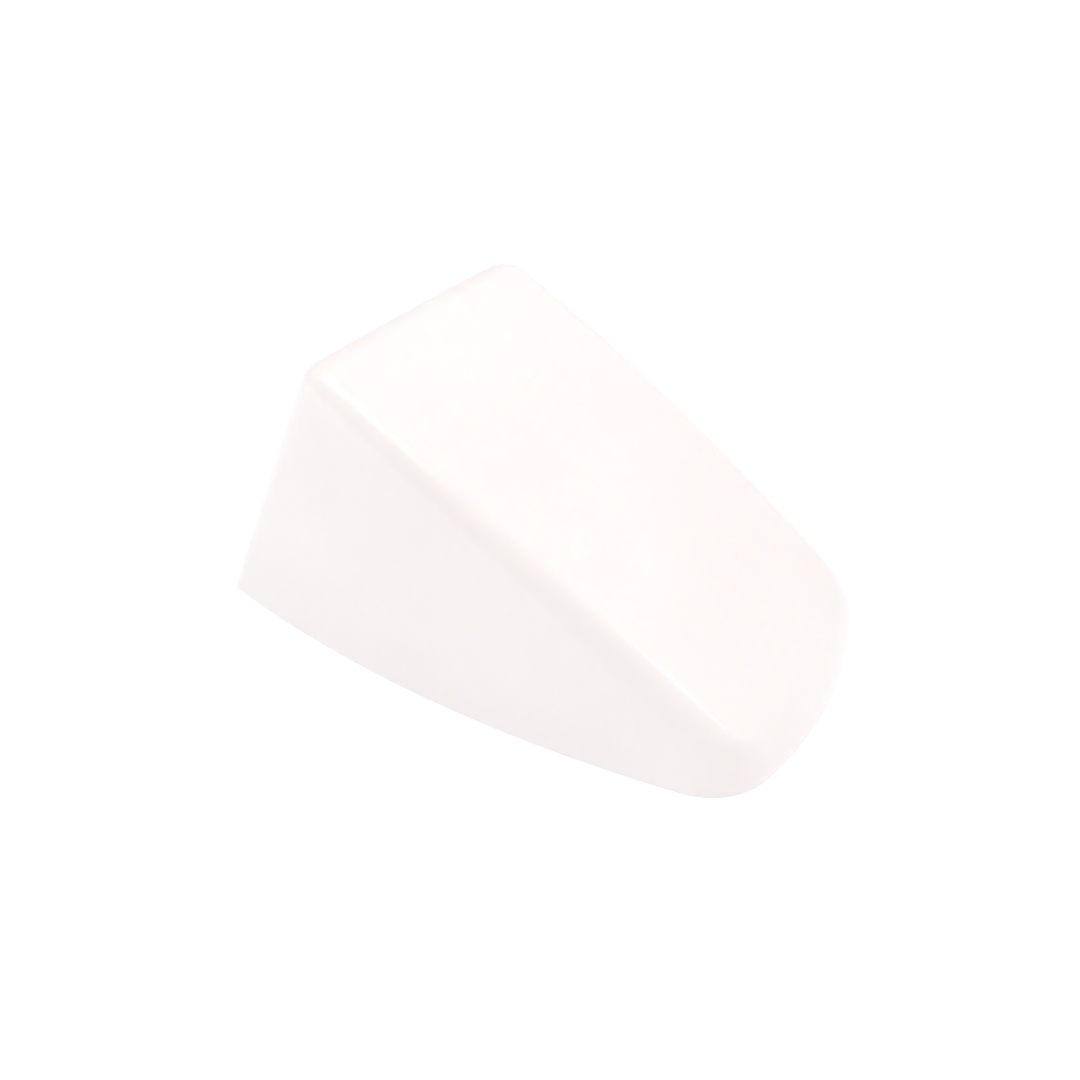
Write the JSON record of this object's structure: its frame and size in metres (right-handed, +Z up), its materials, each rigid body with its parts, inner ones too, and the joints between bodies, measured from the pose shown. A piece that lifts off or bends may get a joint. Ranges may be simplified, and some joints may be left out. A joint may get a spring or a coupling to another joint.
{
  "type": "raised pavement marker",
  "caption": "One-way wedge road marker: ribbed hollow shell with a crowned ramp, rounded nose, screwed base plate and a screwed reflective lens in its tall rear face.",
  "frame": {"origin": "centre of the bounding box's footprint, on the plane that rests on the road", "axes": "+X along the length towards the low rounded nose, the lens faces -X; +Y across, to the left seen from the rear; +Z up"},
  "size_m": [0.1, 0.0642, 0.0485],
  "materials": {
    "shell": "semi-gloss moulded",
    "base": "matte, waffled underside",
    "seal": "matte",
    "steel": "satin",
    "brass": "satin",
    "lens": "clear polished, prisms on the back",
    "backing": "metallised plastic"
  },
  "bodies": {
    "root": {"body_shell": "shell", "base_plate": "base", "base_gasket": "seal", "base_screw_1": "steel", "base_screw_2": "steel", "base_screw_3": "steel", "base_screw_4": "steel", "base_screw_5": "steel", "base_screw_6": "steel", "boss_insert_1": "brass", "boss_insert_2": "brass", "boss_insert_3": "brass", "boss_insert_4": "brass", "boss_insert_5": "brass", "boss_insert_6": "brass", "reflector_lens": "lens", "lens_gasket": "seal", "reflector_backing": "backing", "lens_screw_1": "steel", "lens_screw_2": "steel", "lens_screw_3": "steel", "lens_screw_4": "steel"}
  },
  "joints": []
}
